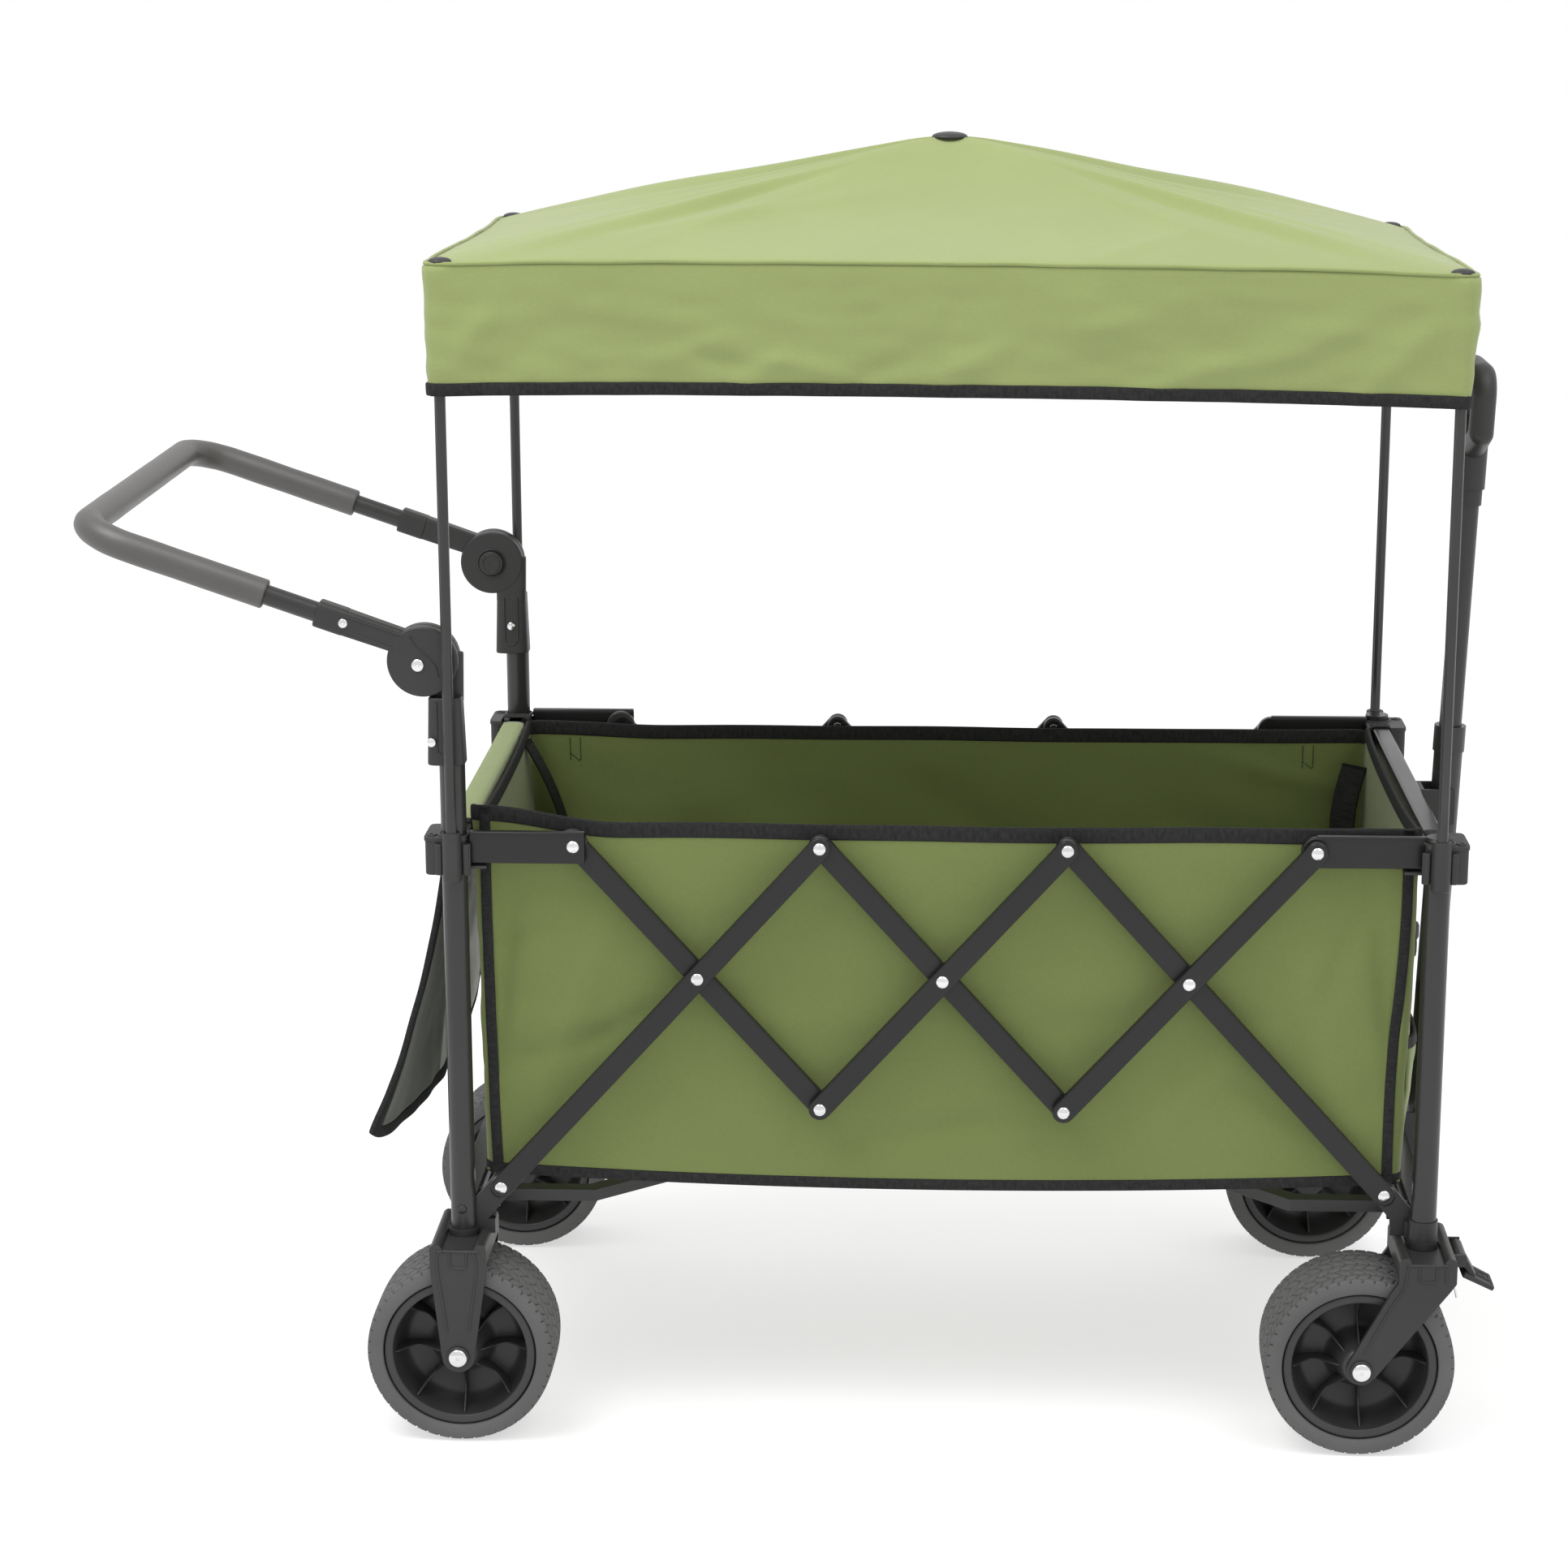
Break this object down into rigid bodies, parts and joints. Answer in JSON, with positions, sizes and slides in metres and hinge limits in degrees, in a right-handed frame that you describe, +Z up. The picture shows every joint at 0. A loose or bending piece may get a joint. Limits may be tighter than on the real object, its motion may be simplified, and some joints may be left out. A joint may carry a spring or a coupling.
{
  "type": "folding wagon",
  "caption": "Folding cloth-sided wagon with scissor sides, a padded push bar, a telescoping pull handle, braked swivel casters and a removable canopy on slim poles.",
  "frame": {"origin": "on the ground, under the middle of the basket and midway between the two sides", "axes": "+X forward, towards the pull handle; +Y to the far side, which is the left when looking forward; +Z up"},
  "size_m": [1.3346, 0.615, 1.22],
  "materials": {
    "tube": "satin",
    "link_bar": "satin",
    "rivet": "polished",
    "fitting": "matte",
    "rim": "satin",
    "tyre": "matte",
    "foam": "matte",
    "basket_cloth": "matte",
    "flap_cloth": "matte",
    "canopy_cloth": "matte",
    "pole": "satin"
  },
  "bodies": {
    "rear_frame": {"rear_posts": "tube", "rear_crossbar": "tube", "rear_feet": "fitting", "push_hub_bases": "fitting", "basket": "basket_cloth"},
    "rear_slide": {"rear_collars": "fitting", "rear_rail": "tube", "end_flap": "flap_cloth"},
    "rear_short_arms": {"rear_arms": "link_bar", "arm_rivets": "rivet"},
    "link_a": {"links_a": "link_bar"},
    "link_b": {"links_b": "link_bar", "rivets_b": "rivet"},
    "link_c": {"links_c": "link_bar"},
    "link_d": {"links_d": "link_bar", "rivets_d": "rivet"},
    "link_e": {"links_e": "link_bar", "rivets_e": "rivet"},
    "link_f": {"links_f": "link_bar", "rivets_f": "rivet"},
    "front_frame": {"front_posts": "tube", "front_crossbar": "tube", "front_feet": "fitting", "handle_bracket": "fitting", "front_pockets": "basket_cloth"},
    "front_slide": {"front_collars": "fitting", "front_rail": "tube", "handle_clip": "fitting"},
    "front_short_arms": {"front_arms": "link_bar"},
    "floor_rear": {"floor_bars_rear": "tube"},
    "floor_front": {"floor_bars_front": "tube"},
    "push_bar": {"push_arms": "fitting", "push_tube": "tube", "push_grip": "foam"},
    "pull_swing_arm": {"pull_outer": "tube"},
    "pull_slider": {"pull_inner": "tube", "pull_grip": "fitting"},
    "canopy_rear": {"canopy_poles_rear": "pole", "canopy_ribs": "pole", "canopy_cover": "canopy_cloth"},
    "canopy_front": {"canopy_poles_front": "pole"},
    "caster_near": {"caster_fork_near": "fitting"},
    "front_wheel_near": {"front_rim_near": "rim", "front_tyre_near": "tyre"},
    "rear_wheel_near": {"rear_rim_near": "rim", "rear_tyre_near": "tyre"},
    "brake_near": {"brake_pedal_near": "fitting"},
    "post_button_near": {"post_button_near": "rivet"},
    "foot_button_near": {"foot_button_near": "fitting"},
    "hub_button_near": {"hub_button_near": "fitting"},
    "caster_far": {"caster_fork_far": "fitting"},
    "front_wheel_far": {"front_rim_far": "rim", "front_tyre_far": "tyre"},
    "rear_wheel_far": {"rear_rim_far": "rim", "rear_tyre_far": "tyre"},
    "brake_far": {"brake_pedal_far": "fitting"},
    "post_button_far": {"post_button_far": "rivet"},
    "foot_button_far": {"foot_button_far": "fitting"},
    "hub_button_far": {"hub_button_far": "fitting"}
  },
  "joints": [
    {"name": "fold", "type": "hinge", "parent": "rear_frame", "child": "link_b", "pos_m": [-0.41952, 0, 0.24688], "axis": [0, -1, 0], "range_deg": [0, 32], "deforming": ["basket", "canopy_cover", "canopy_ribs"]},
    {"name": "cross_a", "type": "hinge", "parent": "link_b", "child": "link_a", "pos_m": [-0.23, 0, 0.457], "axis": [0, -1, 0], "range_deg": [-64.02, 0]},
    {"name": "peak_c", "type": "hinge", "parent": "link_b", "child": "link_c", "pos_m": [-0.115, 0, 0.5845], "axis": [0, -1, 0], "range_deg": [-64.02, 0]},
    {"name": "cross_d", "type": "hinge", "parent": "link_c", "child": "link_d", "pos_m": [0, 0, 0.457], "axis": [0, -1, 0], "range_deg": [0, 64.02]},
    {"name": "peak_e", "type": "hinge", "parent": "link_d", "child": "link_e", "pos_m": [0.115, 0, 0.5845], "axis": [0, -1, 0], "range_deg": [-64.02, 0]},
    {"name": "cross_f", "type": "hinge", "parent": "link_e", "child": "link_f", "pos_m": [0.23, 0, 0.457], "axis": [0, -1, 0], "range_deg": [0, 64.02]},
    {"name": "end_front", "type": "hinge", "parent": "link_e", "child": "front_frame", "pos_m": [0.41952, 0, 0.24688], "axis": [0, -1, 0], "range_deg": [0, 32.02]},
    {"name": "rear_collar_rise", "type": "slide", "parent": "rear_frame", "child": "rear_slide", "axis": [0, 0, 1], "range_m": [0, 0.03376]},
    {"name": "front_collar_rise", "type": "slide", "parent": "front_frame", "child": "front_slide", "axis": [0, 0, 1], "range_m": [0, 0.03376]},
    {"name": "rear_arm_turn", "type": "hinge", "parent": "rear_slide", "child": "rear_short_arms", "pos_m": [-0.429, 0, 0.582], "axis": [0, -1, 0], "range_deg": [0, 68.2]},
    {"name": "front_arm_turn", "type": "hinge", "parent": "front_slide", "child": "front_short_arms", "pos_m": [0.429, 0, 0.582], "axis": [0, 1, 0], "range_deg": [0, 68.2]},
    {"name": "rear_floor_turn", "type": "hinge", "parent": "rear_frame", "child": "floor_rear", "pos_m": [-0.438, 0, 0.22], "axis": [0, -1, 0], "range_deg": [0, 73.06]},
    {"name": "front_floor_turn", "type": "hinge", "parent": "front_frame", "child": "floor_front", "pos_m": [0.438, 0, 0.22], "axis": [0, 1, 0], "range_deg": [0, 73.06]},
    {"name": "push_bar_tilt", "type": "hinge", "parent": "rear_frame", "child": "push_bar", "pos_m": [-0.481, 0, 0.76], "axis": [0, 1, 0], "range_deg": [-75, 45]},
    {"name": "pull_swing", "type": "hinge", "parent": "front_frame", "child": "pull_swing_arm", "pos_m": [0.483, 0, 0.204], "axis": [0, 1, 0], "range_deg": [0, 85]},
    {"name": "pull_telescope", "type": "slide", "parent": "pull_swing_arm", "child": "pull_slider", "axis": [0.0349, 0, 0.9994], "range_m": [-0.2, 0]},
    {"name": "caster_swivel_near", "type": "hinge", "parent": "front_frame", "child": "caster_near", "pos_m": [0.457, -0.255, 0], "axis": [0, 0, 1], "continuous": true},
    {"name": "front_wheel_spin_near", "type": "hinge", "parent": "caster_near", "child": "front_wheel_near", "pos_m": [0.398, -0.255, 0.09], "axis": [0, 1, 0], "continuous": true},
    {"name": "rear_wheel_spin_near", "type": "hinge", "parent": "rear_frame", "child": "rear_wheel_near", "pos_m": [-0.459, -0.255, 0.09], "axis": [0, 1, 0], "continuous": true},
    {"name": "brake_press_near", "type": "hinge", "parent": "caster_near", "child": "brake_near", "pos_m": [0.491, -0.255, 0.193], "axis": [0, 1, 0], "range_deg": [0, 14]},
    {"name": "post_button_press_near", "type": "slide", "parent": "rear_frame", "child": "post_button_near", "axis": [0, 1, 0], "range_m": [0, 0.0025], "stiffness_N_per_m": 800},
    {"name": "foot_button_press_near", "type": "slide", "parent": "rear_frame", "child": "foot_button_near", "axis": [0, 1, 0], "range_m": [0, 0.0025], "stiffness_N_per_m": 800},
    {"name": "hub_button_press_near", "type": "slide", "parent": "rear_frame", "child": "hub_button_near", "axis": [0, -1, 0], "range_m": [0, 0.003], "stiffness_N_per_m": 800},
    {"name": "caster_swivel_far", "type": "hinge", "parent": "front_frame", "child": "caster_far", "pos_m": [0.457, 0.255, 0], "axis": [0, 0, 1], "continuous": true},
    {"name": "front_wheel_spin_far", "type": "hinge", "parent": "caster_far", "child": "front_wheel_far", "pos_m": [0.398, 0.255, 0.09], "axis": [0, 1, 0], "continuous": true},
    {"name": "rear_wheel_spin_far", "type": "hinge", "parent": "rear_frame", "child": "rear_wheel_far", "pos_m": [-0.459, 0.255, 0.09], "axis": [0, 1, 0], "continuous": true},
    {"name": "brake_press_far", "type": "hinge", "parent": "caster_far", "child": "brake_far", "pos_m": [0.491, 0.255, 0.193], "axis": [0, 1, 0], "range_deg": [0, 14]},
    {"name": "post_button_press_far", "type": "slide", "parent": "rear_frame", "child": "post_button_far", "axis": [0, -1, 0], "range_m": [0, 0.0025], "stiffness_N_per_m": 800},
    {"name": "foot_button_press_far", "type": "slide", "parent": "rear_frame", "child": "foot_button_far", "axis": [0, -1, 0], "range_m": [0, 0.0025], "stiffness_N_per_m": 800},
    {"name": "hub_button_press_far", "type": "slide", "parent": "rear_frame", "child": "hub_button_far", "axis": [0, 1, 0], "range_m": [0, 0.003], "stiffness_N_per_m": 800},
    {"name": "canopy_lift", "type": "slide", "parent": "rear_slide", "child": "canopy_rear", "axis": [0, 0, 1], "range_m": [0, 0.05]},
    {"name": "canopy_lift_front", "type": "slide", "parent": "front_slide", "child": "canopy_front", "axis": [0, 0, 1], "range_m": [0, 0.0501]}
  ],
  "couplings": [
    {"joint": "cross_a", "follows": "fold", "ratio": -2},
    {"joint": "peak_c", "follows": "fold", "ratio": -2},
    {"joint": "cross_d", "follows": "fold", "ratio": 2},
    {"joint": "peak_e", "follows": "fold", "ratio": -2},
    {"joint": "cross_f", "follows": "fold", "ratio": 2},
    {"joint": "end_front", "follows": "fold", "ratio": 1},
    {"joint": "rear_collar_rise", "follows": "fold", "m_per_rad": 0.06026},
    {"joint": "front_collar_rise", "follows": "fold", "m_per_rad": 0.06026},
    {"joint": "rear_arm_turn", "follows": "fold", "ratio": 2.1308},
    {"joint": "front_arm_turn", "follows": "fold", "ratio": 2.1308},
    {"joint": "rear_floor_turn", "follows": "fold", "ratio": 2.2825},
    {"joint": "front_floor_turn", "follows": "fold", "ratio": 2.2825},
    {"joint": "canopy_lift_front", "follows": "canopy_lift", "ratio": 1}
  ]
}
